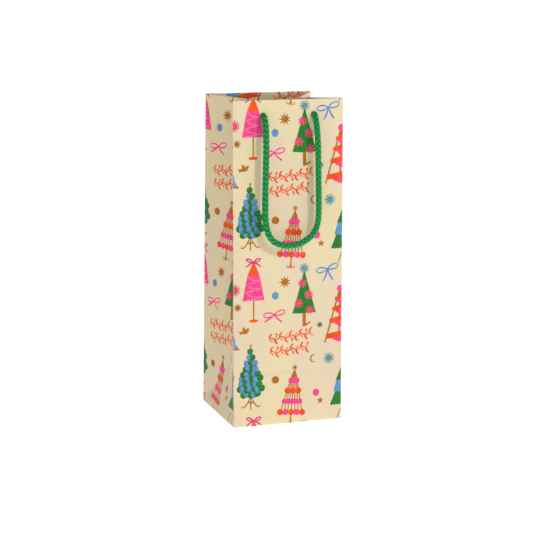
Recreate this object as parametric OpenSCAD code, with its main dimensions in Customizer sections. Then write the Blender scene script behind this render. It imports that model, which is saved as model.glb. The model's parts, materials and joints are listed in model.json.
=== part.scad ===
// Gift bag for one wine bottle: a folded, printed paper tube with a turned-over
// hem, card stiffeners, a loose base board and two knotted rope handles.
// Millimetres, +Z up. The origin is the middle of the base; the front faces -Y.

/* [Bag] */
// Outside width of the front panel
bag_width = 125; // [115:1:135]
// Outside depth of the base
base_depth = 120; // [110:2:130]
// Height from the base to the rim
bag_height = 356; // [330:2:380]
// How far the front rim stands back from the front of the base
front_lean = 1; // [1:1:4]
// How far the back rim stands forward from the back of the base
back_lean = 18; // [14:1:24]

/* [Gussets] */
// How far the inward crease sinks below the rim at the mouth
crease_drop = 2.8; // [1:0.2:4]

/* [Paper and card] */
// Thickness of the laminated paper
paper = 0.5; // [0.4:0.1:0.6]
// Thickness of the card strips inside the hem
rim_card = 0.8; // [0.6:0.1:1.2]
// Depth of the turned-over hem
hem_depth = 40; // [34:1:44]
// Width of the glued side seam
seam_width = 18; // [14:1:22]
// Thickness of the loose base board
board = 1.2; // [1:0.1:2]

/* [Handles] */
// Diameter of the braided rope
rope_d = 6.2; // [5:0.1:6.6]
// Distance of each punched hole from the middle of the panel
hole_x = 28.5; // [28:0.5:29]
// Distance of the holes below the rim
hole_drop = 17; // [16:1:18]
// Diameter of the punched holes
hole_d = 8; // [7.2:0.1:9]
// Diameter of the knots
knot_d = 13; // [11:0.5:14]
// Length of rope that hangs below each knot
tail = 20; // [10:1:25]

/* [Hidden] */
$fn = 48;
cream = [0.93, 0.87, 0.74];
white = [0.95, 0.95, 0.94];
grey_card = [0.78, 0.75, 0.70];
green = [0.05, 0.55, 0.30];

half_width = bag_width / 2;
hem_z = bag_height - hem_depth;
card_z = hem_z + 4;
card_in = paper + rim_card;    // depth of the card's inner face from the panel's outer face
hem_in = card_in + paper;      // depth of the front and back hem's inner face
hole_z = bag_height - hole_drop;
board_side_gap = 4.5;          // between the board and the sides, which lean inward
board_end_gap = 3.5;           // between the board and the front or the back
board_rest = 0.1;              // the board's clearance above the side flaps
knot_gap = 0.2;                // between a knot and the hem that it bears on
flap_reach = 0.62;             // front and back base flaps, as a share of the depth
side_reach = 0.45;             // side base flaps, as a share of the width
flap_corner = 16;              // 45 degree cut at the free corners of the base flaps

// The base crease of each side: a triangle leans inward from the base to the apex of
// the folds, where the crease up the middle of the gusset starts.
half_gusset = base_depth / 2;
lean = (front_lean + back_lean) / 2 / bag_height;
stretch = 1 + lean;            // slanting length of the triangle for each mm of height
apex_z = half_gusset / stretch;
inward = sqrt(pow(stretch, 2) - 1);
fold_start = 1;                // height at which the diagonal folds leave the corners

// Heights of the rings of points that the walls are lofted through.
upper_levels = [apex_z, 68, 80, 95, 115, 140, 170, 205, 245, 285, hem_z,
                hem_z + hem_depth / 2, bag_height];
hem_levels = [hem_z, hem_z + hem_depth / 2, bag_height];

// Route of a rope handle from knot to knot: [x, distance out from the panel, z].
// It leaves one hole, turns down, hangs in a U and goes back in at the other hole.
ROUTE = [
    [-28.5, -9, 339], [-28.5, 0, 339], [-28.5, 2.6, 338.2], [-28.5, 5.1, 335.9],
    [-28.5, 7.2, 332.4], [-28.5, 8.8, 328.3], [-28.7, 10, 323.5], [-28.8, 11, 318],
    [-29, 11.8, 311], [-29.2, 12.3, 302], [-29.5, 12.5, 289], [-29.9, 12.5, 272],
    [-30.3, 12.5, 255], [-30.4, 12.5, 238], [-30, 12.5, 228], [-28.6, 12.5, 219.5],
    [-26, 12.5, 212.5], [-21, 12.5, 206], [-14.5, 12.5, 202.5], [-7, 12.5, 200.8],
    [0.5, 12.5, 200.8], [8, 12.5, 202], [15, 12.5, 205], [21.5, 12.5, 209.5],
    [26.5, 12.5, 216.5], [29.2, 12.5, 225], [30, 12.5, 236], [30, 12.5, 249],
    [29.7, 12.5, 266], [29.4, 12.5, 284], [29.2, 12.3, 300], [29, 11.8, 310],
    [28.8, 11, 318], [28.7, 10, 323.5], [28.5, 8.8, 328.3], [28.5, 7.2, 332.4],
    [28.5, 5.1, 335.9], [28.5, 2.6, 338.2], [28.5, 0, 339], [28.5, -9, 339]];
pivot = 4;                     // the route's point that the handle swings about

// Where the front and back panels' outer faces lie at height z.
function front_y(z) = -base_depth / 2 + front_lean * z / bag_height;
function back_y(z) = base_depth / 2 - back_lean * z / bag_height;
function half_depth(z) = (back_y(z) - front_y(z)) / 2;
function middle_y(z) = (back_y(z) + front_y(z)) / 2;

// A gusset keeps its paper's width, so the crease moves in as the mouth gets shallower.
function tuck(z) = sqrt(pow(half_gusset, 2) - pow(half_depth(z), 2));
function sunk(z) = z - crease_drop
    * pow((tuck(z) - tuck(apex_z)) / (tuck(bag_height) - tuck(apex_z)), 2);

// How far half a gusset runs inward for each mm that it runs back from the corner.
function run_in(z) = z < apex_z ? inward : tuck(z) / half_depth(z);

// Where a layer of the front or back, wall deep, meets a layer of the gusset, side deep.
function corner_x(z, wall, side) =
    half_width - wall * run_in(z) - side * norm([1, run_in(z)]);

// Where a layer of half a gusset ends: at the diagonal fold, or at the crease above it.
function fold(z, side, y) = z < apex_z
    ? [half_width - z * inward - side * stretch, y + (y < 0 ? z : -z), z]
    : [half_width - tuck(z) - side * norm([1, run_in(z)]), middle_y(z), sunk(z)];

// Rings of four points, anticlockwise seen from above: outer edge, then inner edge.
function front_ring(z, outer, inner, outer_side, inner_side) = [
    [-corner_x(z, outer, outer_side), front_y(z) + outer, z],
    [corner_x(z, outer, outer_side), front_y(z) + outer, z],
    [corner_x(z, inner, inner_side), front_y(z) + inner, z],
    [-corner_x(z, inner, inner_side), front_y(z) + inner, z]];
function back_ring(z, outer, inner, outer_side, inner_side) = [
    [corner_x(z, outer, outer_side), back_y(z) - outer, z],
    [-corner_x(z, outer, outer_side), back_y(z) - outer, z],
    [-corner_x(z, inner, inner_side), back_y(z) - inner, z],
    [corner_x(z, inner, inner_side), back_y(z) - inner, z]];
function gusset_front_ring(z, wall, outer, inner_wall, inner) = [
    [corner_x(z, wall, outer), front_y(z) + wall, z],
    fold(z, outer, front_y(z)),
    fold(z, inner, front_y(z)),
    [corner_x(z, inner_wall, inner), front_y(z) + inner_wall, z]];
function gusset_rear_ring(z, wall, outer, inner_wall, inner) = [
    fold(z, outer, back_y(z)),
    [corner_x(z, wall, outer), back_y(z) - wall, z],
    [corner_x(z, inner_wall, inner), back_y(z) - inner_wall, z],
    fold(z, inner, back_y(z))];

// Solid through rings of points with equal counts. The third side of each ring is
// split along the same diagonal as the first, so that both faces of a wall agree.
module loft(rings) {
    n = len(rings[0]);
    top = n * (len(rings) - 1);
    sides = [for (i = [0 : len(rings) - 2], j = [0 : n - 1])
        let (a = i * n + j, b = i * n + (j + 1) % n, c = a + n, d = b + n)
        each (j == 2 ? [[a, c, b], [b, c, d]] : [[a, c, d], [a, d, b]])];
    caps = [for (j = [1 : n - 2]) each [[0, j, j + 1], [top, top + j + 1, top + j]]];
    polyhedron([for (ring = rings) each ring], concat(sides, caps));
}

// Punched holes through every layer at the front (side -1) or the back (side 1).
module punched(side) {
    difference() {
        children();
        for (x = [-hole_x, hole_x])
            translate([x, side * base_depth / 2, hole_z])
                rotate([90, 0, 0]) cylinder(h = base_depth / 2, d = hole_d, center = true);
    }
}

// The printed sheet: front, back and the four creased halves of the gussets.
module front_panel() {
    color(cream) punched(-1)
        loft([for (z = concat([0], upper_levels)) front_ring(z, 0, paper, 0, paper)]);
}

module back_panel() {
    color(cream) punched(1)
        loft([for (z = concat([0], upper_levels)) back_ring(z, 0, paper, 0, paper)]);
}

// Triangle at the foot of the right gusset, from the base to the apex of its folds.
module gusset_base() {
    color(cream) loft(concat(
        [[[corner_x(0, 0, 0), front_y(0), 0], [corner_x(0, 0, 0), back_y(0), 0],
          [corner_x(0, paper, paper), back_y(0) - paper, 0],
          [corner_x(0, paper, paper), front_y(0) + paper, 0]]],
        [for (z = [fold_start, apex_z - fold_start / 2]) [
            fold(z, 0, front_y(z)), fold(z, 0, back_y(z)),
            fold(z, paper, back_y(z)), fold(z, paper, front_y(z))]]));
}

module gusset_front() {
    color(cream) loft([for (z = concat([fold_start], upper_levels))
        gusset_front_ring(z, 0, 0, paper, paper)]);
}

module gusset_rear() {
    color(cream) loft([for (z = concat([fold_start], upper_levels))
        gusset_rear_ring(z, 0, 0, paper, paper)]);
}

// The right gusset's glued edge, inside the back panel.
module side_seam_flap() {
    color(white) loft([for (z = concat([3 * paper], [for (z = upper_levels) if (z <= hem_z) z])) [
        [corner_x(z, paper, paper), back_y(z) - paper, z],
        [corner_x(z, paper, paper) - seam_width, back_y(z) - paper, z],
        [corner_x(z, paper, paper) - seam_width, back_y(z) - 2 * paper, z],
        [corner_x(z, 2 * paper, paper), back_y(z) - 2 * paper, z]]]);
}

// The turned-over hem, down inside the card, and the strip folded across the card's top.
module front_hem() {
    color(cream) punched(-1)
        loft([for (z = hem_levels) front_ring(z, card_in, hem_in, 2 * paper, 2 * paper)]);
}

module back_hem() {
    color(cream) punched(1)
        loft([for (z = hem_levels) back_ring(z, card_in, hem_in, 2 * paper, 2 * paper)]);
}

module front_top_fold() {
    color(cream) loft([for (z = [bag_height - paper, bag_height])
        front_ring(z, paper, card_in, 2 * paper, 2 * paper)]);
}

module back_top_fold() {
    color(cream) loft([for (z = [bag_height - paper, bag_height])
        back_ring(z, paper, card_in, 2 * paper, 2 * paper)]);
}

module hem_front() {
    color(cream) loft([for (z = hem_levels)
        gusset_front_ring(z, paper, paper, paper, 2 * paper)]);
}

module hem_rear() {
    color(cream) loft([for (z = hem_levels)
        gusset_rear_ring(z, paper, paper, paper, 2 * paper)]);
}

// Card strips that stiffen the rim round the holes.
module front_rim_card() {
    color(grey_card) punched(-1)
        loft([for (z = [card_z, hem_z + hem_depth / 2, bag_height - paper])
            front_ring(z, paper, card_in, 2 * paper, 2 * paper)]);
}

module back_rim_card() {
    color(grey_card) punched(1)
        loft([for (z = [card_z, hem_z + hem_depth / 2, bag_height - paper])
            back_ring(z, paper, card_in, 2 * paper, 2 * paper)]);
}

// Half the width between the leaning sides at the top of the given base layer.
function flap_half(layer) = half_width - paper * stretch - (layer + 1) * paper * inward;

// One glued base flap, folded in along the line from [-half, 0] to [half, 0].
module base_flap(half, reach, layer) {
    translate([0, 0, layer * paper]) linear_extrude(paper)
        polygon([[-half, 0], [half, 0], [half, reach - flap_corner],
                 [half - flap_corner, reach], [flap_corner - half, reach],
                 [-half, reach - flap_corner]]);
}

module front_base_flap() {
    color(cream) translate([0, front_y(paper) + paper, 0])
        base_flap(flap_half(0), flap_reach * base_depth, 0);
}

module back_base_flap() {
    color(cream) translate([0, back_y(2 * paper) - paper, 0]) rotate([0, 0, 180])
        base_flap(flap_half(1), flap_reach * base_depth, 1);
}

// Side flap under the board, at the right.
module side_base_flap() {
    color(white) translate([flap_half(2), middle_y(3 * paper), 0]) rotate([0, 0, 90])
        base_flap(half_depth(3 * paper) - paper, side_reach * bag_width, 2);
}

module base_board() {
    board_x = bag_width - 2 * (paper + board_side_gap);
    board_y = base_depth - 2 * (paper + board_end_gap);
    corner = 2;
    color(grey_card) translate([0, 0, 3 * paper + board_rest]) linear_extrude(board)
        hull() for (x = [-1, 1], y = [-1, 1])
            translate([x * (board_x / 2 - corner), y * (board_y / 2 - corner)])
                circle(r = corner, $fn = 32);
}

// The route on one face: side -1 is the front, and side 1 is the back, turned round.
function routed(p, side) =
    [-side * p[0], side < 0 ? front_y(p[2]) - p[1] : back_y(p[2]) + p[1], p[2]];
function unit(v) = v / norm(v);

// Ring of points round a route's point, square to the route there.
function rope_ring(route, i) =
    let (before = route[max(i - 1, 0)], after = route[min(i + 1, len(route) - 1)],
         along = unit(after - before),
         out = unit(cross(along, [0, 1, 0])),
         up = cross(along, out))
    [for (k = [0 : 9]) route[i] + rope_d / 2 * (cos(36 * k) * out + sin(36 * k) * up)];

// The free loop of a handle, from the point that it swings about to the other one.
module rope(side) {
    route = [for (p = ROUTE) routed(p, side)];
    color(green) loft([for (i = [pivot : len(ROUTE) - 1 - pivot]) rope_ring(route, i)]);
}

// A knot inside the hem, the rope through the hole, and the cut end that hangs down.
module knot(x, side) {
    face = side < 0 ? front_y(hole_z) : back_y(hole_z);
    centre = hem_in + knot_gap + knot_d / 2;
    color(green) translate([x, face, hole_z]) rotate([0, 0, side < 0 ? 0 : 180]) union() {
        translate([0, centre, 0]) sphere(d = knot_d);
        rotate([-90, 0, 0]) cylinder(h = centre, d = rope_d);
        translate([0, centre, -knot_d / 2 - tail]) cylinder(h = tail + knot_d / 2, d = rope_d);
    }
}

front_panel();
back_panel();
mirror([1, 0, 0]) gusset_base();  // left_gusset_base
gusset_base();  // right_gusset_base
mirror([1, 0, 0]) gusset_front();  // left_gusset_front
mirror([1, 0, 0]) gusset_rear();  // left_gusset_rear
gusset_front();  // right_gusset_front
gusset_rear();  // right_gusset_rear
side_seam_flap();
front_hem();
back_hem();
front_top_fold();
back_top_fold();
mirror([1, 0, 0]) hem_front();  // left_hem_front
mirror([1, 0, 0]) hem_rear();  // left_hem_rear
hem_front();  // right_hem_front
hem_rear();  // right_hem_rear
front_base_flap();
back_base_flap();
mirror([1, 0, 0]) side_base_flap();  // left_base_flap
side_base_flap();  // right_base_flap
front_rim_card();
back_rim_card();
base_board();
rope(-1);  // front_rope
rope(1);  // back_rope
knot(-hole_x, -1);  // front_left_knot
knot(hole_x, -1);  // front_right_knot
knot(-hole_x, 1);  // back_left_knot
knot(hole_x, 1);  // back_right_knot
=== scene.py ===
"""Looks of the wine gift bag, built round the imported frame.
Lengths are in millimetres until a mesh is made, unless a comment says metres."""
import json
import math

import bpy
import numpy as np
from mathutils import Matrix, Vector
from mathutils.geometry import delaunay_2d_cdt


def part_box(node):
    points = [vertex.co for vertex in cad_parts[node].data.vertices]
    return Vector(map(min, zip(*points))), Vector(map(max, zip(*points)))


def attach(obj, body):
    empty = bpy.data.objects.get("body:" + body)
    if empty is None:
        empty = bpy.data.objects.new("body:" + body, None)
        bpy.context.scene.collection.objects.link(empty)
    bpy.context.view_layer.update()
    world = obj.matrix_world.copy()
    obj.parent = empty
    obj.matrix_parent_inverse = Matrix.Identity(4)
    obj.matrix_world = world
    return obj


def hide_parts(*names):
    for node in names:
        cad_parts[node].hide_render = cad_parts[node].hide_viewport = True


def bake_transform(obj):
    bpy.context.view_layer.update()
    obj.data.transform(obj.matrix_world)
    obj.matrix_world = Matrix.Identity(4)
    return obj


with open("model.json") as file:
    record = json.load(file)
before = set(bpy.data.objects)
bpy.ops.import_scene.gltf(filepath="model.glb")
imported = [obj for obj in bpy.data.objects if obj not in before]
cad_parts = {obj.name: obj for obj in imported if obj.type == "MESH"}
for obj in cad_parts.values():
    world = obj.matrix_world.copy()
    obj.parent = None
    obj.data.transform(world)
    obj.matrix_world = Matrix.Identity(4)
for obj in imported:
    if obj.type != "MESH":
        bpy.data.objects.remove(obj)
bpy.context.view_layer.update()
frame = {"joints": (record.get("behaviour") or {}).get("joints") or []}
MM = 0.001


# ---- sizes from the frame
def box_mm(node):
    low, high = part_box(node)
    return np.array(low) / MM, np.array(high) / MM


def box_size(node):
    low, high = box_mm(node)
    return high - low


WIDTH, _, HEIGHT = box_size("front_panel")
PAPER = box_size("front_base_flap")[2]
DEPTH = box_size("left_gusset_base")[1]
FRONT_LEAN = box_size("front_panel")[1] - PAPER
BACK_LEAN = box_size("back_panel")[1] - PAPER
HEM_Z = box_mm("front_hem")[0][2]
CARD = box_size("front_rim_card")[1] - FRONT_LEAN * box_size("front_rim_card")[2] / HEIGHT
HEM_IN = PAPER + CARD + PAPER
CREASE_DROP = 2.8  # how far the inward crease sinks at the mouth
HALF_GUSSET = DEPTH / 2
LEAN = (FRONT_LEAN + BACK_LEAN) / 2 / HEIGHT
STRETCH = 1 + LEAN  # slanting length of a gusset's foot for each mm of height
FOLD_Z = HALF_GUSSET / STRETCH  # height of the apex of a gusset's folds
INWARD = math.sqrt(STRETCH**2 - 1)  # run inward of that foot for each mm of height


def front_y(z):
    return -DEPTH / 2 + FRONT_LEAN * z / HEIGHT


def back_y(z):
    return DEPTH / 2 - BACK_LEAN * z / HEIGHT


def half_depth(z):
    return (back_y(z) - front_y(z)) / 2


def smooth(t):
    t = np.clip(t, 0, 1)
    return t * t * (3 - 2 * t)


def tuck(z):
    """How far the inward crease of a gusset stands in from the corner line."""
    return np.sqrt(np.maximum(HALF_GUSSET**2 - half_depth(z) ** 2, 0))


def run_in(z):
    """How far half a gusset runs inward for each mm that it runs back from the corner."""
    return np.where(z < FOLD_Z, INWARD, tuck(z) / half_depth(z))


def corner(z, wall, side, right, front):
    """Where a layer of the front or back, wall deep, meets a layer of the gusset, side deep."""
    x = WIDTH / 2 - wall * run_in(z) - side * np.hypot(1, run_in(z))
    y = front_y(z) + wall if front else back_y(z) - wall
    return np.stack([x if right else -x, y, z + 0 * x], -1)


def fold(z, side, right, front):
    """Where half a gusset ends: at its diagonal fold, or at the crease above the apex."""
    x = WIDTH / 2 - np.where(z < FOLD_Z, z * INWARD, tuck(z)) - side * np.hypot(1, run_in(z))
    low = front_y(z) + z if front else back_y(z) - z
    y = np.where(z < FOLD_Z, low, (front_y(z) + back_y(z)) / 2)
    deep = np.maximum(tuck(z) - tuck(FOLD_Z), 0) / (tuck(HEIGHT) - tuck(FOLD_Z))
    return np.stack([x if right else -x, y, z - CREASE_DROP * deep**2], -1)


# ---- small helpers
def wobble(x, y, seed):
    """Smooth, repeatable unevenness between about -1 and 1."""
    a = np.sin(1.0 * x + 2.3 * y + seed) + np.sin(2.7 * x - 1.3 * y + 1.7 * seed)
    return (a + np.sin(-1.9 * x + 0.7 * y + 2.9 * seed)) / 3


def linear(colour):
    """An sRGB colour from 0 to 255, as Blender's linear values."""
    c = np.array(colour, float) / 255
    return tuple(np.where(c <= 0.04045, c / 12.92, ((c + 0.055) / 1.055) ** 2.4))


def rectangle(u0, u1, w0, w1):
    return [(u0, w0), (u1, w0), (u1, w1), (u0, w1)]


def new_mesh(name, points, faces, materials, slots=None):
    """A mesh object from points in millimetres."""
    mesh = bpy.data.meshes.new(name)
    mesh.from_pydata((np.asarray(points) * MM).tolist(), [], [tuple(map(int, f)) for f in faces])
    for material in materials:
        mesh.materials.append(material)
    if slots is not None:
        mesh.polygons.foreach_set("material_index", np.asarray(slots, np.int32))
    mesh.polygons.foreach_set("use_smooth", np.ones(len(mesh.polygons), bool))
    mesh.validate()
    mesh.update()
    piece = bpy.data.objects.new(name, mesh)
    bpy.context.scene.collection.objects.link(piece)
    return piece


def gone_along(path):
    """Length of the path up to each of its points."""
    return np.concatenate([[0], np.cumsum(np.linalg.norm(np.diff(path, axis=0), axis=1))])


def catmull(points, step):
    """Points about step apart along a smooth curve through the given ones."""
    p = np.asarray(points, float)
    p = np.vstack([2 * p[0] - p[1], p, 2 * p[-1] - p[-2]])
    fine = []
    for i in range(1, len(p) - 2):
        t = np.linspace(0, 1, 24, endpoint=False)[:, None]
        a, b, c, d = p[i - 1], p[i], p[i + 1], p[i + 2]
        fine.append(0.5 * (2 * b + (c - a) * t + (2 * a - 5 * b + 4 * c - d) * t**2
                           + (3 * b - a - 3 * c + d) * t**3))
    fine = np.vstack(fine + [p[-2][None]])
    gone = gone_along(fine)
    at = np.linspace(0, gone[-1], max(2, int(round(gone[-1] / step)) + 1))
    return np.stack([np.interp(at, gone, fine[:, k]) for k in range(p.shape[1])], -1)


# ---- materials
class Nodes:
    """Short way to build one material's node tree."""

    def __init__(self, name):
        self.material = bpy.data.materials.new(name)
        self.material.use_nodes = True
        self.tree = self.material.node_tree
        self.shader = self.tree.nodes["Principled BSDF"]

    def add(self, kind, inputs, output=0, **settings):
        """A new node's output socket. Inputs are given by name or number."""
        node = self.tree.nodes.new(kind)
        for key, value in settings.items():
            setattr(node, key, value)
        for key, value in inputs.items():
            self.put(node.inputs[key], value)
        return node.outputs[output]

    def put(self, socket, value):
        if isinstance(value, bpy.types.NodeSocket):
            self.tree.links.new(value, socket)
        elif socket.type == "RGBA":
            socket.default_value = (*value, 1)
        else:
            socket.default_value = value

    def noise(self, scale, detail=3.0, rough=0.55, stretch=(1, 1, 1)):
        place = self.add("ShaderNodeTexCoord", {}, "Object")
        moved = self.add("ShaderNodeMapping", {"Vector": place, "Scale": stretch})
        inputs = {"Vector": moved, "Scale": scale, "Detail": detail, "Roughness": rough}
        return self.add("ShaderNodeTexNoise", inputs, "Fac")

    def ramp(self, value, out_low=0.0, out_high=1.0, low=0.3, high=0.7):
        return self.add("ShaderNodeMapRange", {"Value": value, "From Min": low, "From Max": high,
                                               "To Min": out_low, "To Max": out_high})

    def mix(self, factor, a, b, blend="MIX"):
        return self.add("ShaderNodeMix", {0: factor, 6: a, 7: b}, 2,  # its colour sockets
                        data_type="RGBA", blend_type=blend)

    def times(self, a, b):
        return self.add("ShaderNodeMath", {0: a, 1: b}, operation="MULTIPLY")

    def attribute(self, name, output):
        return self.add("ShaderNodeAttribute", {}, output, attribute_name=name)

    def bump(self, height, strength, distance):
        """Bumps of a height from 0 to 1; the distance is in metres."""
        inputs = {"Height": height, "Strength": strength, "Distance": distance}
        self.set(Normal=self.add("ShaderNodeBump", inputs))

    def set(self, **inputs):
        for key, value in inputs.items():
            self.put(self.shader.inputs[key.replace("_", " ")], value)


CREAM = linear((233, 216, 174))
CREAM_PINK = linear((231, 211, 180))
CREAM_SPECK = linear((205, 186, 150))
WHITE_PAPER = linear((240, 239, 235))
WHITE_FIBRE = linear((228, 226, 220))
BOARD_DARK, BOARD_LIGHT = linear((176, 170, 160)), linear((196, 191, 182))
BOARD_FLECK = linear((120, 112, 100))
YARN_DARK, YARN_BRIGHT = linear((0, 134, 54)), linear((4, 184, 92))
YARN_PAINTED_SHADE = linear((0, 52, 22))  # painted shade: the yarn's colour where shade falls between and under plaits
WEAR = 0.3  # how white a worn fold gets


def printed_paper():
    """Matt laminated paper: the ink attribute's colours, gouache streaks, worn folds."""
    n = Nodes("printed_paper")
    ink = n.attribute("ink", "Color")
    inked = n.attribute("ink", "Alpha")
    patches = n.ramp(n.noise(22, 2, 0.5, (1, 1, 0.35)), low=0.46, high=0.60)
    ground = n.mix(patches, CREAM, CREAM_PINK)
    ground = n.mix(n.ramp(n.noise(900, 2), 0, 0.06), ground, CREAM_SPECK)
    streaks = n.ramp(n.noise(260, 3, 0.6, (1, 1, 0.25)), 0.80, 1.16, 0.35, 0.68)
    grey = n.add("ShaderNodeCombineColor", {"Red": streaks, "Green": streaks, "Blue": streaks})
    colour = n.mix(inked, ground, n.mix(1.0, ink, grey, "MULTIPLY"))
    wear = n.times(n.attribute("wear", "Fac"), n.ramp(n.noise(400, 4), low=0.35))
    n.set(Base_Color=n.mix(n.times(wear, WEAR), colour, WHITE_PAPER), Specular_IOR_Level=0.2,
          Roughness=n.ramp(n.noise(160, 3), 0.5, 0.6))
    n.bump(n.noise(1500, 3, 0.6), 0.10, 0.0002)
    return n.material


def plain_paper():
    """The sheet's white inner face, with a faint fibre mottle."""
    n = Nodes("plain_paper")
    fibres = n.ramp(n.noise(700, 4, 0.65, (1, 1, 0.4)))
    n.set(Base_Color=n.mix(fibres, WHITE_FIBRE, WHITE_PAPER),
          Roughness=n.ramp(n.noise(300), 0.72, 0.85))
    n.bump(n.noise(1200, 4, 0.7), 0.25, 0.0002)
    return n.material


def grey_board():
    """Recycled grey board, with flecks."""
    n = Nodes("grey_board")
    base = n.mix(n.ramp(n.noise(350, 4, 0.7), low=0.35, high=0.65), BOARD_DARK, BOARD_LIGHT)
    flecks = n.ramp(n.noise(1600, 2, 0.6, (1, 0.35, 1)), low=0.66, high=0.72)
    n.set(Base_Color=n.mix(n.times(flecks, 0.6), base, BOARD_FLECK),
          Roughness=n.ramp(n.noise(500), 0.82, 0.92))
    n.bump(n.noise(900, 4, 0.7), 0.3, 0.0003)
    return n.material


def rope_fibre():
    """Bright green polyester yarn: fine fibres along each plait, with shade painted in between and
    under the plaits.
    """
    n = Nodes("rope_fibre")
    fibres = n.noise(2600, 2, 0.5)
    # painted shade from the rope's points darkens the yarn between and under plaits and on the core
    sunk = n.ramp(n.attribute("sunk", "Fac"), low=0.0, high=1.0)
    colour = n.mix(n.ramp(fibres), YARN_DARK, YARN_BRIGHT)
    n.set(Base_Color=n.mix(sunk, colour, YARN_PAINTED_SHADE), Roughness=n.ramp(fibres, 0.34, 0.5),
          Specular_IOR_Level=0.3, Sheen_Weight=0.05, Sheen_Roughness=0.4)
    n.bump(fibres, 0.35, 0.0003)
    return n.material


PRINTED = printed_paper()
PLAIN = plain_paper()
BOARD = grey_board()
ROPE = rope_fibre()


# ---- camera, floor and light
# Places and sizes are in metres, and power is in watts.
LENS, SENSOR = 105.9, 36  # millimetres
CAMERA_AT = (-0.5513, -1.6297, 0.4894)
YAW, TILT = 18.534, 10.682  # degrees to the right of straight ahead, and down
SEES_TO = 200
KEY = {"place": (0.6, -1.6, 1.3), "target": (0, 0, 0.2), "size": 0.2, "power": 12.4}
FILL = {"place": (-1.2, -1.2, 0.8), "target": (0, 0, 0.15), "size": 1.2, "power": 0.2}
FLOOR_HALF = 60000.0  # millimetres from its middle to its edge
FLOOR_GREYS = (0.58, 0.60)
FLOOR_GLOW = 0.93  # lifts it to the white of the surroundings
FLOOR_DROP = 0.0002  # how far it lies under the bag
# Strength of the white surroundings by height over the horizon: full there, dim overhead.
SKY = {"From Min": 0.12, "From Max": 0.34, "To Min": 1.0, "To Max": 0.16}


def make_camera():
    """The bag seen from the left of its front and a little above, with a long lens."""
    data = bpy.data.cameras.new("camera")
    data.lens = LENS
    data.sensor_width = SENSOR
    data.clip_end = SEES_TO
    camera = bpy.data.objects.new("camera", data)
    bpy.context.scene.collection.objects.link(camera)
    camera.location = CAMERA_AT
    camera.rotation_euler = (math.pi / 2 - math.radians(TILT), 0, -math.radians(YAW))
    bpy.context.scene.camera = camera


def area_light(name, place, target, size, power):
    data = bpy.data.lights.new(name, "AREA")
    data.size = size
    data.energy = power
    light = bpy.data.objects.new(name, data)
    light.location = place
    light.rotation_euler = (Vector(target) - Vector(place)).to_track_quat("-Z", "Y").to_euler()
    bpy.context.scene.collection.objects.link(light)


def make_studio():
    """A white floor, white surroundings and two lamps."""
    n = Nodes("studio_floor")
    low, high = ((grey, grey, grey) for grey in FLOOR_GREYS)
    n.set(Base_Color=n.mix(n.ramp(n.noise(3)), low, high), Roughness=0.9,
          Emission_Color=(1, 1, 1), Emission_Strength=FLOOR_GLOW)
    corners = [(x * FLOOR_HALF, y * FLOOR_HALF, 0) for x, y in rectangle(-1, 1, -1, 1)]
    floor = new_mesh("floor", corners, [(0, 1, 2, 3)], [n.material])
    floor.location.z = -FLOOR_DROP
    world = bpy.data.worlds.new("studio")
    world.use_nodes = True
    tree = world.node_tree
    place = tree.nodes.new("ShaderNodeTexCoord")
    split = tree.nodes.new("ShaderNodeSeparateXYZ")
    fade = tree.nodes.new("ShaderNodeMapRange")
    for key, value in SKY.items():
        fade.inputs[key].default_value = value
    tree.links.new(place.outputs["Generated"], split.inputs[0])
    tree.links.new(split.outputs["Z"], fade.inputs["Value"])
    tree.links.new(fade.outputs[0], tree.nodes["Background"].inputs["Strength"])
    tree.nodes["Background"].inputs["Color"].default_value = (1, 1, 1, 1)
    bpy.context.scene.world = world
    area_light("key", **KEY)
    area_light("fill", **FILL)
    bpy.context.scene.view_settings.view_transform = "Standard"


make_camera()
make_studio()


# ---- rope handles
# Route of a handle in metres: x, distance out from the panel, z. A side is -1 for the front
# and 1 for the back.
ROUTE_END = [
    (-0.0285, -0.009, 0.339), (-0.0285, 0, 0.339), (-0.0285, 0.0026, 0.3382),
    (-0.0285, 0.0051, 0.3359), (-0.0285, 0.0072, 0.3324), (-0.0285, 0.0088, 0.3283),
    (-0.0287, 0.01, 0.3235), (-0.0288, 0.011, 0.318)]
ROUTE = ROUTE_END + [
    (-0.029, 0.0118, 0.311), (-0.0292, 0.0123, 0.302), (-0.0295, 0.0125, 0.289),
    (-0.0299, 0.0125, 0.272), (-0.0303, 0.0125, 0.255), (-0.0304, 0.0125, 0.238),
    (-0.03, 0.0125, 0.228), (-0.0286, 0.0125, 0.2195), (-0.026, 0.0125, 0.2125),
    (-0.021, 0.0125, 0.206), (-0.0145, 0.0125, 0.2025), (-0.007, 0.0125, 0.2008),
    (0.0005, 0.0125, 0.2008), (0.008, 0.0125, 0.202), (0.015, 0.0125, 0.205),
    (0.0215, 0.0125, 0.2095), (0.0265, 0.0125, 0.2165), (0.0292, 0.0125, 0.225),
    (0.03, 0.0125, 0.236), (0.03, 0.0125, 0.249), (0.0297, 0.0125, 0.266),
    (0.0294, 0.0125, 0.284), (0.0292, 0.0123, 0.3), (0.029, 0.0118, 0.31)
] + [(-x, out, z) for x, out, z in reversed(ROUTE_END)]
ROPE_D = 6.2
KNOT_ROPE_D = 5.2  # the rope of a knot is pulled thinner
KNOT_R = 6.5  # radius of the frame's knots
KNOT_SIZE = 1.7  # scales the curve of a knot to that radius
PLAITS = 4  # plaits that wind each way round the rope
PITCH = 22.0  # length of rope in which one plait goes round once
PLAIT_SIDES = 6
# Shares of the rope's radius: half a plait's thickness and width, how far out its middle line
# lies, and how far that line weaves in and out.
PLAIT_THICK, PLAIT_WIDE, PLAIT_OUT, PLAIT_WEAVE = 0.29, 0.50, 0.71, 0.17
CORE, CORE_SIDES = 0.33, 10  # radius of the core as a share of the rope's diameter
# Metres outward and upward from the hinge, to where a rope starts to bend and where it ends.
BEND_START, BEND_END = (-0.0065, 0.0066), (0.0045, -0.017)


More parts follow.
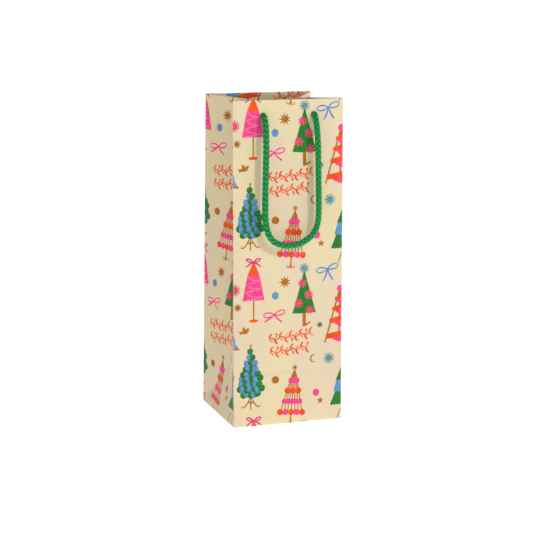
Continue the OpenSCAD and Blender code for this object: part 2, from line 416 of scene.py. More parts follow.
def routed(side):
    """The route on the front, side -1, or turned round on the back, side 1, in millimetres."""
    points = []
    for x, out, z in np.array(ROUTE) / MM:
        y = front_y(z) - out if side < 0 else back_y(z) + out
        points.append((-side * x, y, z))
    return np.array(points)


def frames_along(path):
    """Two directions square to the path at each point, turning as little as they can."""
    tangent = np.gradient(path, axis=0)
    tangent /= np.linalg.norm(tangent, axis=1)[:, None]
    first = np.cross(tangent[0], (0.0, 1.0, 0.3))
    across = [first / np.linalg.norm(first)]
    for t in tangent[1:]:
        a = across[-1] - t * (across[-1] @ t)
        across.append(a / np.linalg.norm(a))
    across = np.array(across)
    return across, np.cross(tangent, across)


def tube(path, radius, sides):
    """Points and faces of a closed tube."""
    a, b = frames_along(path)
    turn = 2 * math.pi * np.arange(sides) / sides
    ring = np.cos(turn)[None, :, None] * a[:, None] + np.sin(turn)[None, :, None] * b[:, None]
    points = path[:, None] + radius * ring
    return points.reshape(-1, 3), tube_faces(len(path), sides)


def tube_faces(rings, sides):
    faces = []
    for i in range(rings - 1):
        for j in range(sides):
            k = (j + 1) % sides
            faces.append((i * sides + j, i * sides + k, (i + 1) * sides + k, (i + 1) * sides + j))
    faces.append(tuple(reversed(range(sides))))
    faces.append(tuple((rings - 1) * sides + j for j in range(sides)))
    return faces


def plait(path, radius, index, way):
    """One flat plait of the braid, and the shade painted on each of its points, from 0 to 1.
    It winds round a rope of that radius, over and under the plaits that wind the other way."""
    a, b = frames_along(path)
    along = gone_along(path)
    turns = PLAITS * along / PITCH
    wave = way * np.sin(math.pi * (turns + way * index + 0.5 - 0.25 * way))
    angle = way * 2 * math.pi * along / PITCH + 2 * math.pi * index / PLAITS
    out = np.cos(angle)[:, None] * a + np.sin(angle)[:, None] * b
    centre = path + out * (radius * PLAIT_OUT + PLAIT_WEAVE * radius * wave)[:, None]
    forward = np.gradient(centre, axis=0)
    forward /= np.linalg.norm(forward, axis=1)[:, None]
    side = np.cross(forward, out)
    side /= np.linalg.norm(side, axis=1)[:, None]
    up = np.cross(side, forward)
    turn = 2 * math.pi * np.arange(PLAIT_SIDES) / PLAIT_SIDES
    ring = (PLAIT_WIDE * radius * np.cos(turn)[None, :, None] * side[:, None]
            + PLAIT_THICK * radius * np.sin(turn)[None, :, None] * up[:, None])
    points = centre[:, None] + ring
    # painted shade: darker where the plait dips under the others and towards its edges, lighter on
    # its top face
    sunk = (np.clip(0.35 - 0.5 * wave, 0, 1)[:, None] + 0.45 * np.abs(np.cos(turn))[None]
            - 0.25 * np.clip(np.sin(turn), 0, 1)[None]).clip(0, 1)
    return points.reshape(-1, 3), tube_faces(len(path), PLAIT_SIDES), sunk.ravel()


def braid(name, paths, diameter):
    """A braided rope along each path: a core and the plaits that wind round it both ways."""
    points, faces, sunk = [], [], []
    count = 0
    for path in paths:
        core, core_faces = tube(path, diameter * CORE, CORE_SIDES)
        # the core is painted in full shade
        made = [(core, core_faces, np.ones(len(core)))]
        made += [plait(path, diameter / 2, k, way) for way in (1, -1) for k in range(PLAITS)]
        for part_points, part_faces, part_sunk in made:
            points.append(part_points)
            faces += [tuple(count + i for i in face) for face in part_faces]
            sunk.append(part_sunk)
            count += len(part_points)
    piece = new_mesh(name, np.vstack(points), faces, [ROPE])
    # the painted shade goes on the points, for the rope's material
    attribute = piece.data.attributes.new("sunk", "FLOAT", "POINT")
    attribute.data.foreach_set("value", np.concatenate(sunk).astype(np.float32))
    return piece


def make_rope(side, body, node):
    """One whole handle, braided along its route in place of the frame's rope."""
    path = catmull(routed(side), 1.0)
    piece = braid(node + "_braid", [path], ROPE_D)
    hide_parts(node)
    joint = next(j for j in frame["joints"] if j["child"] == body)
    pivot = Vector(joint["pos_m"])
    start, end = (pivot + Vector((0, side * out, up)) for out, up in (BEND_START, BEND_END))
    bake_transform(piece)
    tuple(start)
    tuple(end)
    length = float(np.linalg.norm(np.diff(path, axis=0), axis=1).sum())
    return piece, path, length


def knot_path(centre, side):
    """A tight overhand knot and the end that hangs from it."""
    t = np.linspace(0, 2 * math.pi, 73)[:-1]
    loop = np.stack([KNOT_SIZE * (np.sin(t) + 2 * np.sin(2 * t)),
                     -1.15 * KNOT_SIZE * np.sin(3 * t),
                     KNOT_SIZE * (np.cos(t) - 2 * np.cos(2 * t))], -1)
    closed = np.vstack([loop, loop[:1]]) + centre
    tail = [(0, 0, -1), (0, 0.5, -6), (0.6, 1.2, -13), (0.9, 1.4, -20), (1.0, 1.2, -26)]
    hanging = [centre + np.array((x, -side * y, z)) for x, y, z in tail]
    return catmull(closed, 0.8), catmull(hanging, 0.8)


def make_knot(node, side):
    low, high = box_mm(node)
    x = (low[0] + high[0]) / 2
    y = high[1] - KNOT_R if side < 0 else low[1] + KNOT_R
    paths = knot_path(np.array((x, y, high[2] - KNOT_R)), side)
    piece = braid(node + "_braid", paths, KNOT_ROPE_D)
    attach(piece, "bag")
    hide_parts(node)
    return piece


def make_handles():
    for side, body, word in ((-1, "front_handle", "front"), (1, "back_handle", "back")):
        knots = [make_knot(f"{word}_{hand}_knot", side) for hand in ("left", "right")]
        piece, path, length = make_rope(side, body, f"{word}_rope")
        tuple(routed(side)[1] * MM)
        [tuple(p * MM) for p in path[::3]]


make_handles()

# ---- the print
# Generic Christmas drawings in gouache colours. A drawing is a list of (ink, outline), painted in
# order, with its foot at the origin. The sheet repeats one tile of them.
TILE_U = 145.0
TILE_V = 176.0
INKS = {
    "pink": (252, 72, 142), "deep_pink": (226, 52, 122), "blush": (252, 158, 188),
    "orange": (244, 82, 22), "rust": (206, 58, 30), "green": (38, 128, 44),
    "dark_green": (28, 100, 44), "blue": (100, 152, 204), "deep_blue": (74, 124, 190),
    "gold": (184, 110, 8),
}


def oval(x, y, rx, ry=None, start=0.0, end=360.0, count=16):
    a = np.radians(np.linspace(start, end, count, endpoint=abs(end - start) < 360))
    return np.stack([x + rx * np.cos(a), y + (rx if ry is None else ry) * np.sin(a)], -1)


def blob(x, y, r, ry=None, count=16):
    """A painted dot with an uneven edge."""
    p = oval(x, y, r, ry, count=count)
    uneven = 1 + 0.07 * wobble(p[:, 0] * 0.9, p[:, 1] * 0.9, x + 2 * y)
    return (p - (x, y)) * uneven[:, None] + (x, y)


def spark(x, y, r, count, inner=0.4, uneven=0.14):
    """A star with count pointed rays of slightly different lengths."""
    corners = np.arange(2 * count)
    a = math.pi / 2 + math.pi * corners / count
    length = np.where(corners % 2 == 0, r, r * inner)
    length = length * (1 + uneven * wobble(3.1 * corners, 0 * a, x + y))
    return np.stack([x + length * np.cos(a), y + length * np.sin(a)], -1)


def stroke(points, width, tip=0.35, step=2.5):
    """A brush line through points, thinner at its ends."""
    if len(points) > 2:
        p = catmull(points, step)
    else:
        start, along = points[0], np.subtract(points[1], points[0])
        p = np.array([np.add(start, along * t) for t in np.linspace(0, 1, 5)])
    forward = np.gradient(p, axis=0)
    forward /= np.linalg.norm(forward, axis=1)[:, None] + 1e-9
    left = np.stack([-forward[:, 1], forward[:, 0]], -1)
    t = np.linspace(0, 1, len(p))
    half = width / 2 * (tip + (1 - tip) * np.sqrt(np.sin(np.pi * t).clip(0)))
    half = half * (1 + 0.10 * wobble(p[:, 0], p[:, 1], width))
    return np.vstack([p + left * half[:, None], (p - left * half[:, None])[::-1]])


def line(ink, points, width, tip=0.35, step=2.5):
    """A brush line with its ink, as one part of a drawing."""
    return ink, stroke(points, width, tip, step)


def mirrored(ink, *strokes):
    """Brush lines, each with its points, width and tip, and their mirror images."""
    return [line(ink, [(side * x, y) for x, y in points], width, tip)
            for side in (-1, 1) for points, width, tip in strokes]


def rays(x, y, r, count, width, inks, start=0.0):
    """Brush lines out from a middle, in each ink by turns."""
    made = []
    for k in range(count):
        a = math.radians(start) + 2 * math.pi * k / count
        tip = (x + r * math.cos(a), y + r * math.sin(a))
        near = (x + 0.12 * r * math.cos(a), y + 0.12 * r * math.sin(a))
        made.append(line(inks[k % len(inks)], [near, tip], width, 0.5))
    return made


def cone_tree():
    """Pink skirted tree with garlands, an orange tip and a bow, on a round foot."""
    scallops = [oval(x, 25, 1.75, 1.6, 180, 360, 5) for x in np.arange(-10.5, 11, 3.5)]
    sides = [(10.5, 33), (8.6, 44), (6.0, 54), (-6.0, 54), (-8.6, 44), (-10.5, 33)]
    parts = [("orange", oval(0, 1.6, 5.2, 1.7)), line("gold", [(0, 2), (0.2, 27)], 1.6, 0.9),
             ("pink", np.vstack([*scallops, sides]))]
    for x in np.arange(-9.6, 10, 2.3):
        parts.append(line("deep_pink", [(x, 25), (x * 0.88, 33 + 3 * math.sin(x))], 0.5))
    for x in np.arange(-4, 5, 2.6):
        parts.append(line("deep_pink", [(x * 1.3, 42), (x, 50 + math.sin(x))], 0.45))
    for low, left, right in ((27, -9.6, 9.8), (36, -8.4, 8.0), (45, -6.4, 6.4)):
        end = (right, low + 0.4)
        parts.append(line("blush", [(left, low + 6.5), (left / 4, low + 1.6), end], 0.6))
        parts.append(line("blush", [end, (left * 1.08, low - 3)], 0.6))
    parts.append(("orange", [(-6.2, 53), (-2, 51), (3, 51), (6.2, 53), (3.4, 60), (0.8, 65),
                             (-0.6, 65), (-3, 60)]))
    return parts + mirrored("deep_pink", ([(0, 65.5), (4.6, 69.6), (8.6, 69.2)], 1.9, 0.7),
                            ([(0, 65.5), (5, 66.2), (8.6, 69)], 1.7, 0.7),
                            ([(0, 65.5), (4.5, 63.6), (8.8, 60.5)], 1.8, 0.7))


def pom_tree():
    """Tree of green and blue pompoms on three curled legs."""
    parts = [line("gold", [(0, 1), (0, 13)], 1.4, 0.8)]
    leg = [(1, 14), (4, 8.5), (7.6, 4.4), (9.8, 4.0), (10.4, 6.2)]
    parts += mirrored("gold", (leg, 1.4, 0.8), ([(-3, 12), (0.6, 8.2), (3.6, 10.6)], 0.9, 0.7))
    parts.append(line("gold", [(0, 66), (0.1, 72)], 2.0, 0.6))
    parts.append(("gold", spark(0, 73, 2.2, 6)))
    for row, count in enumerate((5, 7, 6, 6, 5, 4, 3, 2, 1)):
        for k in range(count):
            x = (k - (count - 1) / 2) * 4.05 + 0.7 * math.sin(3.0 * row + k)
            y = 18.5 + 5.9 * row + 0.9 * math.sin(2.0 * k + row)
            blue = (k + row // 2) % 2 == 1
            parts.append(("blue" if blue else "green", blob(x, y, 4.1 - 0.08 * row, count=14)))
            shade = [(x - 2.9, y - 0.6), (x - 0.8, y - 3.1), (x + 2.6, y - 1.8)]
            parts.append(line("deep_blue" if blue else "dark_green", shade, 1.3, 0.3))
    return parts


def fir_tree():
    """Plain green tree hung with pink and orange bursts, with a blue star and a booted trunk."""
    body = [(-13.4, 15.4), (-4, 14.6), (5, 15.2), (13.4, 14.8), (9.4, 29), (5.2, 44), (0.6, 60),
            (-0.6, 60), (-4.8, 44), (-9.2, 29)]
    boot = [(-1.9, 16), (-1.7, 0.4), (1.6, 0.6), (7.4, 3.8), (6.6, 5.4), (2.0, 3.2), (1.9, 16)]
    parts = [("gold", boot), ("green", body)]
    for x in np.arange(-11, 12, 2.4):
        top = 14 + 46 * (1 - abs(x) / 13.4) - 4
        parts.append(line("dark_green", [(x, 17), (x * 0.8, 17 + 0.5 * (top - 17))], 0.45))
    for x, y, r in ((-2.4, 47.5, 5.0), (5.4, 34.5, 5.2), (-6.4, 25.8, 5.2), (6.4, 17.8, 4.8)):
        parts += rays(x, y, r, 14, 1.1, ("pink", "rust"), 8 * x)
        parts.append(("pink", blob(x, y, r * 0.42, count=12)))
    parts += rays(0, 63.5, 5.8, 14, 1.0, ("blue", "green"))
    parts.append(("blue", blob(0, 63.5, 1.4, count=10)))
    return parts


def bead_tree():
    """Gold strands that fan out, strung with pink and orange beads."""
    parts = [line("gold", [(0, 0), (0, 12)], 1.8, 0.8)]
    parts += mirrored("gold", ([(0, 6), (1.6, 1.2), (4.6, 1.4), (4.4, 4.0)], 1.2, 0.7))
    for x in np.linspace(-13, 13, 7):
        parts.append(line("gold", [(x * 0.16, 60), (x, 15)], 1.2, 0.9))
    for y, reach, count, r, inks in ((52, 3.1, 2, 3.7, ("pink",)), (40.5, 6.2, 3, 3.8, ("orange",)),
                                     (28, 9.2, 5, 3.3, ("pink",)),
                                     (15.5, 13.2, 5, 3.7, ("orange", "pink"))):
        for k, x in enumerate(np.linspace(-reach, reach, count)):
            ink = inks[k % len(inks)]
            parts.append((ink, blob(x, y, r, count=14)))
            shade = [(x - r * 0.5, y - r * 0.6), (x + r * 0.5, y - r * 0.6)]
            parts.append(line("rust" if ink == "orange" else "deep_pink", shade, 0.5))
    parts.append(("gold", [(-2.8, 57), (2.8, 57), (1.6, 62), (0, 65), (-1.6, 62)]))
    parts.append(("gold", spark(0, 67, 4.2, 9, 0.35)))
    return parts


def swag_tree():
    """Tall frame wound with slanting orange swags and pink ones behind them."""
    parts = []
    for x in (-16.5, 0, 15):
        parts.append(line("gold", [(x, 0), (x * 0.04, 58)], 2.0, 0.9))
    for y, thick in ((8, 6.8), (25, 6.4), (38, 5.4), (49.5, 4.4)):
        reach = 15.5 * (1 - y / 66)
        behind = [(-reach * 0.6, y - 2), (0.3 * reach, y - 5.4), (reach + 1, y - 7.0)]
        swag = [(-reach - 2.0, y - 1.4), (0, y + 1.0), (reach + 2.2, y + 5.0)]
        parts += [line("pink", behind, thick * 0.9, 0.6), line("orange", swag, thick, 0.75)]
    parts.append(("pink", blob(0, 60, 3.9)))
    return parts


def tier_tree():
    """Three flared tiers, green, blue and green, on splayed legs."""
    parts = mirrored("gold", ([(3, 12), (7.6, 0)], 1.2, 0.8))
    for y, reach, top, ink, dark in ((16, 16, 9.6, "green", "dark_green"),
                                     (31, 12, 7.6, "blue", "deep_blue"),
                                     (44, 9.2, 0.6, "green", "dark_green")):
        count = int(reach * 1.2)
        xs = np.linspace(-reach, reach, count)
        hem = [(x, y - (0.9 if k % 2 else 0)) for k, x in enumerate(xs)]
        rise = 16 if top > 1 else 20
        parts.append((ink, hem + [(top, y + rise), (-top, y + rise)]))
        for x in np.linspace(-reach + 1.5, reach - 1.5, 8):
            parts.append(line(dark, [(x, y + 0.8), (x * 0.82, y + 7)], 0.55))
    return parts


def bell():
    """Blue bell with a gold rim."""
    body = [(-11, 3), (11, 3), (6.6, 7.5), (4.6, 13), (1.2, 16), (-1.2, 16), (-4.6, 13),
            (-6.6, 7.5)]
    return [("blue", body), line("gold", [(-12, 2.2), (0, 1.2), (12, 2.2)], 2.6, 0.7),
            ("gold", blob(0, -1.4, 2, count=10))]


def bow(ink, tails):
    """A bow of brush lines, given the places where its two tails end."""
    parts = mirrored(ink, ([(0, 0), (4.5, 3.0), (10, 3.8), (13, 2.0)], 1.7, 0.7),
                     ([(13, 2.2), (11, -1.2), (5, -1.6), (0, 0)], 1.7, 0.7))
    parts += [line(ink, [(0, 0), (x * 0.4, y * 0.52), (x, y)], 2.0, 0.8) for x, y in tails]
    return parts + [(ink, blob(0, 0, 1.6, 1.4, 10))]


def star(r, count):
    return [("gold", spark(0, 0, r * 1.16, count, 0.42, 0.12))]


def gold_dot():
    return [("gold", spark(0, 0, 4.6, 14, 0.86, 0.06))]


def dot(ink):
    return [(ink, blob(0, 0, 3.9, 4.2, 18))]


def flake(r, inks):
    parts = rays(0, 0, r, 14, 0.17 * r, inks)
    return parts + [(inks[0], blob(0, 0, 0.2 * r, count=10))]


def burst():
    return rays(0, 0, 6.8, 14, 1.4, ("pink", "rust")) + [("pink", blob(0, 0, 2.2, count=12))]


def moon():
    outer = oval(0.8, 0, 4.2, 4.6, 70, 290, 14)
    inner = oval(2.5, 0, 4.2, 4.0, 282, 78, 12)
    return [("gold", np.vstack([outer, inner]))]


def bird():
    wing = [(1.6, 0.8), (0.6, 4.4), (-1.8, 6.6), (-2.4, 3.6), (-2.6, 0.8)]
    tail = [(-2.6, 0.8), (-7.6, 2.4), (-6.4, 0.2), (-7.2, -2.0), (-2.4, -1.2)]
    beak = [(4.4, 2.5), (6.8, 2.0), (4.6, 1.2)]
    body, head = oval(0, 0, 4.2, 2.4), oval(3.6, 1.8, 1.8, 1.6, count=12)
    return [("gold", outline) for outline in (body, head, wing, tail, beak)]


def garland():
    """Two rows of a waving stem with leaves on both sides, in orange."""
    parts = []
    for y, start, count in ((8, -26, 9), (-7, -26, 8)):
        stem = [(start + 2.9 * k, y + 1.5 * math.sin(1.6 * k)) for k in range(2 * count)]
        parts.append(line("orange", stem, 1.5, 0.8, 1.5))
        for k in range(count):
            root = np.array((start + 5.8 * k + 1.0, y + 0.6 * math.sin(3.2 * k)))
            side = 1 if k % 2 == 0 else -1
            large = [root, root + (0.6, 3.4 * side), root + (3.6, 6.6 * side)]
            small = [root, root + (1.8, -1.6 * side), root + (3.4, -3.8 * side)]
            parts += [line("orange", large, 2.3, 0.25), line("orange", small, 1.4, 0.5)]
            if k % 3 == 1:
                parts.append(("orange", blob(*(root + (2.6, -4.6 * side)), 1.3, count=10)))
    return parts


# Each drawing's place in the tile: (drawing, across, up, scale, turn in degrees).
LAYOUT = [
    (cone_tree(), 22.8, 116.6, 1, 0), (pom_tree(), 19.4, 18, 1, 0),
    (fir_tree(), 80.6, 107.8, 1.02, 0), (bead_tree(), 64.6, -2.6, 0.98, -5),
    (swag_tree(), 121.5, 87.8, 1, -1), (tier_tree(), 127.6, 1, 1, 0),
    (bow("blue", [(-8, -11.5), (3.5, -13.5)]), 107.6, 170, 1, 13),
    (bow("pink", [(-13, -6), (8, -10.5)]), 46.4, 123.5, 0.95, 8),
    (star(6.4, 9), 58.6, 158.8, 1, 10), (star(4.7, 9), 5, 133.6, 1, 0),
    (star(3.8, 5), 100, 23, 1, 0), (bird(), 13.2, 106.6, 0.95, 12),
    (garland(), 66.4, 90.4, 1, 5), (moon(), 91, 71.4, 1, 0),
    (flake(6.6, ("blue", "green")), 109.8, 70.4, 1, 0), (gold_dot(), 47.6, 50.6, 1, 0),
    (dot("pink"), 95, 32.4, 1, 0), (dot("blue"), 47.4, 144.4, 1.02, 0),
    (burst(), 1.4, 152.8, 1, 0), (flake(3.8, ("dark_green", "green")), 99, 108.6, 1, 0),
    (dot("orange"), 143, 56, 0.8, 0), (bell(), 139.4, 88, 1, -12),
    (star(3.6, 7), 140, 111, 1, 0),
]


def signed_area(p):
    x, y = p[:, 0], p[:, 1]
    return (x * np.roll(y, -1) - np.roll(x, -1) * y).sum() / 2


def drawings_in(low, high):
    """Every outline of the repeated tile that reaches into the rectangle from low to high.
    Past the left side of the sheet the tiles drop by half their height."""
    for column in range(math.floor(low[0] / TILE_U) - 1, math.ceil(high[0] / TILE_U) + 1):
        for row in range(math.floor(low[1] / TILE_V) - 1, math.ceil(high[1] / TILE_V) + 2):
            for drawing, across, up, scale, turn in LAYOUT:
                a = math.radians(turn)
                spin = scale * np.array([[math.cos(a), math.sin(a)], [-math.sin(a), math.cos(a)]])
                drop = TILE_V / 2 if column < -1 else 0
                move = np.array((across + column * TILE_U, up + row * TILE_V - drop))
                for ink, outline in drawing:
                    p = np.array(outline) @ spin + move
                    if signed_area(p) < 0:
                        p = p[::-1]
                    if (p.max(0) > low).all() and (p.min(0) < high).all():
                        yield ink, p


# ---- the folded sheet
# Places on the flat sheet: u runs round the bag from the front's left edge, and w runs up it.
FOLD_R = 0.7  # radius that a fold is rounded to
RIM_R = 0.7  # height of the roll over the rim
ROLL = 2.6  # length of paper that rolls over the rim
RIM_TOP = HEIGHT - RIM_R
GRID = 4.5  # spacing of the points that let a panel bend
FOLD_STEPS = (0.25, 0.5, FOLD_R)  # rows of points that round a fold
CREASE_GRID = 3.0  # spacing of points along the pressed crease
CREASE_STEPS = (-1.2, -0.5, 0, 0.5, 1.2)  # and across it
CREASE_DEPTH, CREASE_WIDE = 0.22, 0.6
# How far the panels stand out from flat in their middles, and how unevenly.
WALL_BELLY, WALL_UNEVEN = 0.5, 0.35
GUSSET_BELLY, GUSSET_UNEVEN = 1.2, 0.5
WEAR_REACH = 0.5  # distance in which wear fades from a fold
FLAP_CUT = 16.0  # corner cut off a base flap
FAR = 99.0  # stands for no fold near
HOLE_R = 3.4  # radius of the punched holes, which the rope fills
HOLE_X = (box_mm("front_right_knot")[0][0] + box_mm("front_right_knot")[1][0]) / 2
HOLE_Z = box_mm("front_right_knot")[1][2] - KNOT_R
UPRIGHT = np.array((0.0, 0.0, 1.0))
PANELS = {
    "front": (0.0, WIDTH), "right_front": (WIDTH, WIDTH + HALF_GUSSET),
    "right_rear": (WIDTH + HALF_GUSSET, WIDTH + DEPTH), "right_base": (WIDTH, WIDTH + DEPTH),
    "back": (-DEPTH - WIDTH, -DEPTH), "left_rear": (-DEPTH, -HALF_GUSSET),
    "left_front": (-HALF_GUSSET, 0.0), "left_base": (-DEPTH, 0.0),
}


def panel_ends(panel, z, z_fold, wall, side):
    """The two ends of a panel's layer across the bag, in the order that u runs."""
    right = panel.startswith("right") or panel == "back"
    front = panel.endswith("front")
    if panel in ("front", "back"):
        return corner(z, wall, side, right, front), corner(z, wall, side, not right, front)
    if panel.endswith("base"):
        ends = fold(z_fold, side, right, True), fold(z_fold, side, right, False)
        return ends if right else ends[::-1]
    ends = corner(z, wall, side, right, front), fold(z_fold, side, right, front)
    return ends if panel in ("right_front", "left_rear") else ends[::-1]


def belly(panel, s, z):
    """How far a panel stands out from flat: paper springs out between its folds."""
    up = smooth(z / 90) * smooth((HEM_Z - z) / 120)
    if panel in ("front", "back"):
        seed = 1.0 if panel == "front" else 4.0
        return np.sin(np.pi * s) * up * (WALL_BELLY + WALL_UNEVEN * wobble(3 * s, z / 55, seed))
    if panel.endswith("base"):
        return 0 * z
    tall = smooth((z - FOLD_Z) / 80) * smooth((HEIGHT - z) / 160)
    return np.sin(np.pi * s) * tall * (GUSSET_BELLY + GUSSET_UNEVEN * wobble(2 * s, z / 60, 7.0))


def rounding(distance):
    """How far a fold's rounding draws the face in at a distance from the fold."""
    return FOLD_R / 2 * np.clip(1 - distance / FOLD_R, 0, 1) ** 2


def across_share(panel, u, w):
    """How far across its panel a point of the sheet lies, from 0 to 1."""
    low, high = PANELS[panel]
    if panel in ("front", "back"):
        return (u - low) / (high - low)
    if panel.endswith("base"):
        return np.clip((u - low - w) / np.maximum(DEPTH - 2 * w, 0.01), 0, 1)
    reach = np.clip(w, 0.01, HALF_GUSSET)
    if panel in ("right_front", "left_rear"):
        return np.clip((u - low) / reach, 0, 1)
    return 1 - np.clip((high - u) / reach, 0, 1)


def fold_height(w):
    """Height of the fold at the end of the row that is w up the sheet."""
    above = FOLD_Z + (w - HALF_GUSSET) * (HEIGHT - FOLD_Z) / (HEIGHT - HALF_GUSSET)
    return np.where(w < HALF_GUSSET, w / STRETCH, above)


def laid(ends, s, stand):
    """Points at shares s of the way between a layer's two ends, that stand out from it."""
    first, last = ends
    across = last - first
    out = np.cross(across, UPRIGHT)
    out /= np.linalg.norm(out, axis=1)[:, None] + 1e-9
    return first + s[:, None] * across + out * stand[:, None]


def corner_folds(panel):
    """Which ends of a panel are folded corners of the bag."""
    corners = (0.0, WIDTH, WIDTH + DEPTH, -DEPTH, -DEPTH - WIDTH)
    return [] if panel.endswith("base") else [u for u in PANELS[panel] if u in corners]


def nearest(places, lines):
    """Distance from each place to the nearest line."""
    near = np.full(len(places), FAR)
    for at in lines:
        near = np.minimum(near, np.abs(places - at))
    return near


def outer_place(panel):
    """Maps the flat sheet to the standing panel: its printed face, or its white back."""
    def place(u, w, back):
        near = nearest(np.clip(u, *PANELS[panel]), corner_folds(panel))
        depth = PAPER + 0 * u if back else np.maximum(rounding(near), rounding(w))
        z = w + rounding(w)
        ends = panel_ends(panel, z, fold_height(z), depth, depth)
        s = across_share(panel, u, w)
        return laid(ends, s, belly(panel, s, z) - scored(panel, w))

    return place


def scored(panel, w):
    """Depth of the crease that the base folds up along, pressed across every upright panel."""
    if panel.endswith("base"):
        return 0 * w
    return CREASE_DEPTH * np.exp(-(np.abs(w - HALF_GUSSET) / CREASE_WIDE) ** 2)


def hem_place(panel):
    """Maps the sheet above the rim: over the card, then down the inside."""
    low, high = PANELS[panel]

    def place(u, w, back):
        s = (u - low) / (high - low)
        gone = w - RIM_TOP
        turn = np.pi * np.clip(gone / ROLL, 0, 1)
        over = (1 - np.cos(turn)) / 2
        down = np.maximum(gone - ROLL, 0)
        if back:
            wall, side = PAPER + (HEM_IN - 2 * PAPER) * over, PAPER + 0 * over
        else:
            wall, side = HEM_IN * over, 2 * PAPER * over
        z = RIM_TOP + (RIM_R - PAPER * back) * np.sin(turn) - down
        return laid(panel_ends(panel, z, z, wall, side), s, belly(panel, s, z))

    return place


def flap_place(front):
    """Maps the sheet below the base fold: the flap under the bag, folded inward."""
    low, high = PANELS["front" if front else "back"]
    layer = 0.0 if front else PAPER

    def place(u, w, back):
        gone = -w
        z = layer + (PAPER + 0 * gone if back else rounding(gone))
        edge = PAPER + gone if back else gone + rounding(gone)
        s = (u - low) / (high - low)
        x = (s - 0.5) * (WIDTH - 2 * PAPER * STRETCH - 2 * (layer + PAPER) * INWARD)
        y = front_y(0) + edge if front else back_y(0) - edge
        return np.stack([x if front else -x, y, z], -1)

    return place


def loops_of(triangles):
    """The directed boundary loops of a set of triangles."""
    directed = {(t[i], t[(i + 1) % 3]) for t in triangles for i in range(3)}
    after = {a: b for a, b in directed if (b, a) not in directed}
    loops = []
    while after:
        first = next(iter(after))
        loop = [first]
        at = after.pop(first)
        while at != first:
            loop.append(at)
            at = after.pop(at)
        loops.append(loop)
    return loops


def triangulated(outlines, extra, shapes=()):
    """Triangles over the first outline, less the other outlines, that follow every shape's edge.
    Returns their points, corner numbers, and for each one the number of the top shape or -1."""
    points, faces = [], []
    for outline in [*outlines, *shapes]:
        faces.append(list(range(len(points), len(points) + len(outline))))
        points += [Vector(p) for p in outline]
    points += [Vector(p) for p in extra]
    made = delaunay_2d_cdt(points, [], faces, 0, 1e-3, True)
    flat = np.array([tuple(v) for v in made[0]])
    kept, tops = [], []
    holes = set(range(1, len(outlines)))
    for face, origin in zip(made[2], made[5]):
        if 0 not in origin or holes.intersection(origin):
            continue
        a, b, c = (flat[i] for i in face)
        area = (b[0] - a[0]) * (c[1] - a[1]) - (b[1] - a[1]) * (c[0] - a[0])
        kept.append(tuple(face) if area > 0 else tuple(reversed(face)))
        tops.append(max(origin) - len(outlines) if max(origin) >= len(outlines) else -1)
    return flat, kept, tops, made[3]


def dense(outline, step):
    """The outline with points added so that none of its sides is longer than step."""
    made = []
    for a, b in zip(outline, [*outline[1:], outline[0]]):
        a, b = np.array(a, float), np.array(b, float)
        count = max(1, math.ceil(np.linalg.norm(b - a) / step))
        made += [tuple(a + (b - a) * k / count) for k in range(count)]
    return made


def inside(outline, points, margin):
    """Which points lie in a convex anticlockwise outline, at least margin from its sides."""
    keep = np.ones(len(points), bool)
    for a, b in zip(outline, [*outline[1:], outline[0]]):
        along = np.subtract(b, a)
        off = along[0] * (points[:, 1] - a[1]) - along[1] * (points[:, 0] - a[0])
        keep &= off > margin * np.linalg.norm(along)
    return points[keep]


def bend_points(outline, rows, columns, creased):
    """Points that let a panel bend: a grid, extra rows and columns, and the pressed crease."""
    low, high = np.min(outline, 0), np.max(outline, 0)
    us = np.arange(low[0] + GRID / 2, high[0], GRID)
    ws = np.arange(low[1] + GRID / 2, high[1], GRID)
    made = [(u, w) for u in us for w in ws]
    made += [(u, w) for u in us for w in rows]
    made += [(u, w) for u in columns for w in ws]
    if creased:
        long = high[0] - low[0]
        shares = np.arange(0.5, long / CREASE_GRID) * CREASE_GRID / long
        made += [(low[0] + long * t, HALF_GUSSET + k) for t in shares for k in CREASE_STEPS]
    return inside(outline, np.array(made), 0.1)


def paper_piece(name, outline, place, worn, holes=(), rows=(), columns=(), creased=False):
    """A closed sheet of paper: printed face, white back, and the cut edge between them."""
    edges = [dense(outline, GRID), *holes]
    extra = bend_points(outline, rows, columns, creased)
    shapes = list(drawings_in(np.min(outline, 0), np.max(outline, 0)))
    flat, faces, tops, _ = triangulated(edges, extra, [p for _, p in shapes])
    loops = sorted(loops_of(faces), key=len, reverse=True)
    turned = [loop if signed_area(flat[loop]) > 0 else loop[::-1] for loop in loops]
    count = len(flat)
    outlines = [flat[loop].tolist() for loop in turned]
    back_flat, back_faces, _, origins = triangulated(outlines, extra)
    to_back = {}
    for at, sources in enumerate(origins):
        for source in sources:
            to_back[source] = count + at
    joined = [number for loop in turned for number in loop]
    pairs = {number: to_back[k] for k, number in enumerate(joined)}
    walls = []
    for loop in loops:
        for a, b in zip(loop, loop[1:] + loop[:1]):
            walls.append((b, a, pairs[a], pairs[b]))
    points = np.vstack([place(flat[:, 0], flat[:, 1], False),
                        place(back_flat[:, 0], back_flat[:, 1], True)])
    backs = [tuple(count + i for i in reversed(face)) for face in back_faces]
    slots = [0] * len(faces) + [1] * (len(backs) + len(walls))
    used = np.zeros(len(points), bool)
    every = faces + backs + walls
    used[[i for face in every for i in face]] = True
    renumber = np.cumsum(used) - 1
    every = [tuple(renumber[list(face)]) for face in every]
    piece = new_mesh(name, points[used], every, [PRINTED, PLAIN], slots)
    piece.data.set_sharp_from_angle(angle=math.radians(40))
    paint(piece, tops, [ink for ink, _ in shapes])
    both = np.vstack([flat, back_flat])
    attribute = piece.data.attributes.new("wear", "FLOAT", "POINT")
    attribute.data.foreach_set("value", worn(both[:, 0], both[:, 1])[used].astype(np.float32))
    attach(piece, "bag")
    return piece


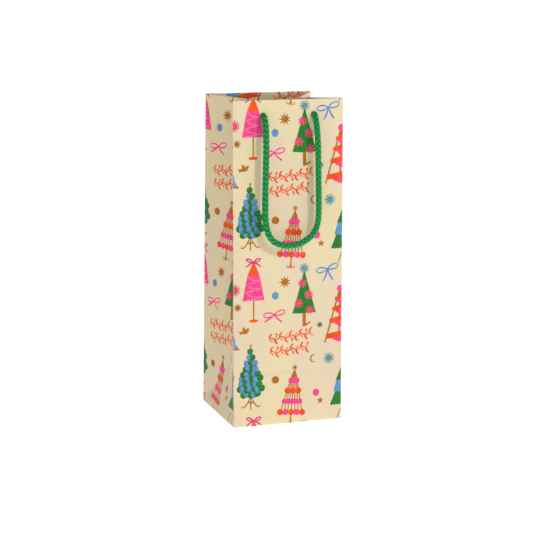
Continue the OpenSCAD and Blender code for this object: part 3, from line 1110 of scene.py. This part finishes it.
def paint(piece, tops, inks):
    """Colours each printed triangle with its top shape's ink; alpha 0 is bare ground."""
    colours = np.zeros((len(piece.data.loops), 4), np.float32)
    for face, top in zip(piece.data.polygons, tops):
        if top >= 0:
            colours[face.loop_start:face.loop_start + 3] = (*linear(INKS[inks[top]]), 1)
    attribute = piece.data.color_attributes.new("ink", "FLOAT_COLOR", "CORNER")
    attribute.data.foreach_set("color", colours.ravel())


def edge_wear(us, ws):
    """Wear that fades away from lines of constant u or w."""
    return lambda u, w: np.exp(-np.minimum(nearest(u, us), nearest(w, ws)) / WEAR_REACH)


def punched(panel, inner):
    """The two rope holes of the front or back, on the panel or on its hem."""
    low, high = PANELS[panel]
    w = 2 * RIM_TOP + ROLL - HOLE_Z if inner else HOLE_Z
    return [oval((low + high) / 2 + x, w, HOLE_R, count=28).tolist() for x in (-HOLE_X, HOLE_X)]


def panel_outline(panel):
    """The panel on the flat sheet, anticlockwise from its lowest left corner."""
    low, high = PANELS[panel]
    if panel in ("front", "back"):
        return rectangle(low, high, 0, RIM_TOP)
    if panel.endswith("base"):
        return [(low, 0), (high, 0), ((low + high) / 2, HALF_GUSSET)]
    if panel in ("right_front", "left_rear"):
        return [(low, 0), (high, HALF_GUSSET), (high, RIM_TOP), (low, RIM_TOP)]
    return [(high, 0), (high, RIM_TOP), (low, RIM_TOP), (low, HALF_GUSSET)]


def make_panel(name, panel, holes=()):
    (low, high), folds = PANELS[panel], corner_folds(panel)
    half = panel.endswith(("_front", "_rear"))
    columns = [low + k for k in FOLD_STEPS if low in folds]
    columns += [high - k for k in FOLD_STEPS if high in folds]
    piece = paper_piece(name + "_sheet", panel_outline(panel), outer_place(panel),
                        edge_wear(folds, [] if half else [0]), holes,
                        [] if half else FOLD_STEPS, columns, not panel.endswith("base"))
    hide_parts(name)


def make_hem(panel, nodes, holes=()):
    u0, u1 = PANELS[panel]
    end = RIM_TOP + ROLL + RIM_TOP - HEM_Z
    piece = paper_piece(nodes[0] + "_sheet", rectangle(u0, u1, RIM_TOP, end), hem_place(panel),
                        edge_wear((u0, u1), (RIM_TOP + ROLL / 2,)), holes,
                        RIM_TOP + ROLL * np.arange(1, 8) / 8)
    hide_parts(*nodes)


def make_base_flap(name, front):
    u0, u1 = PANELS["front" if front else "back"]
    reach = box_size(name)[1]
    outline = [(u0, -reach + FLAP_CUT), (u0 + FLAP_CUT, -reach), (u1 - FLAP_CUT, -reach),
               (u1, -reach + FLAP_CUT), (u1, 0), (u0, 0)]
    piece = paper_piece(name + "_sheet", outline, flap_place(front), edge_wear((), (0,)),
                        rows=[-k for k in FOLD_STEPS])
    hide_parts(name)


def make_sheet():
    make_panel("front_panel", "front", punched("front", False))
    make_panel("back_panel", "back", punched("back", False))
    for hand in ("left", "right"):
        make_panel(f"{hand}_gusset_base", f"{hand}_base")
        for half in ("front", "rear"):
            make_panel(f"{hand}_gusset_{half}", f"{hand}_{half}")
            make_hem(f"{hand}_{half}", [f"{hand}_hem_{half}"])
    for word in ("front", "back"):
        make_hem(word, [f"{word}_hem", f"{word}_top_fold"], punched(word, True))
        make_base_flap(f"{word}_base_flap", word == "front")


def dress_flat_pieces():
    """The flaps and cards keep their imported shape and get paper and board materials."""
    for material, nodes in ((PLAIN, ("side_seam_flap", "left_base_flap", "right_base_flap")),
                            (BOARD, ("front_rim_card", "back_rim_card", "base_board"))):
        for node in nodes:
            materials = bpy.data.objects[node].data.materials
            materials.clear()
            materials.append(material)


make_sheet()
dress_flat_pieces()
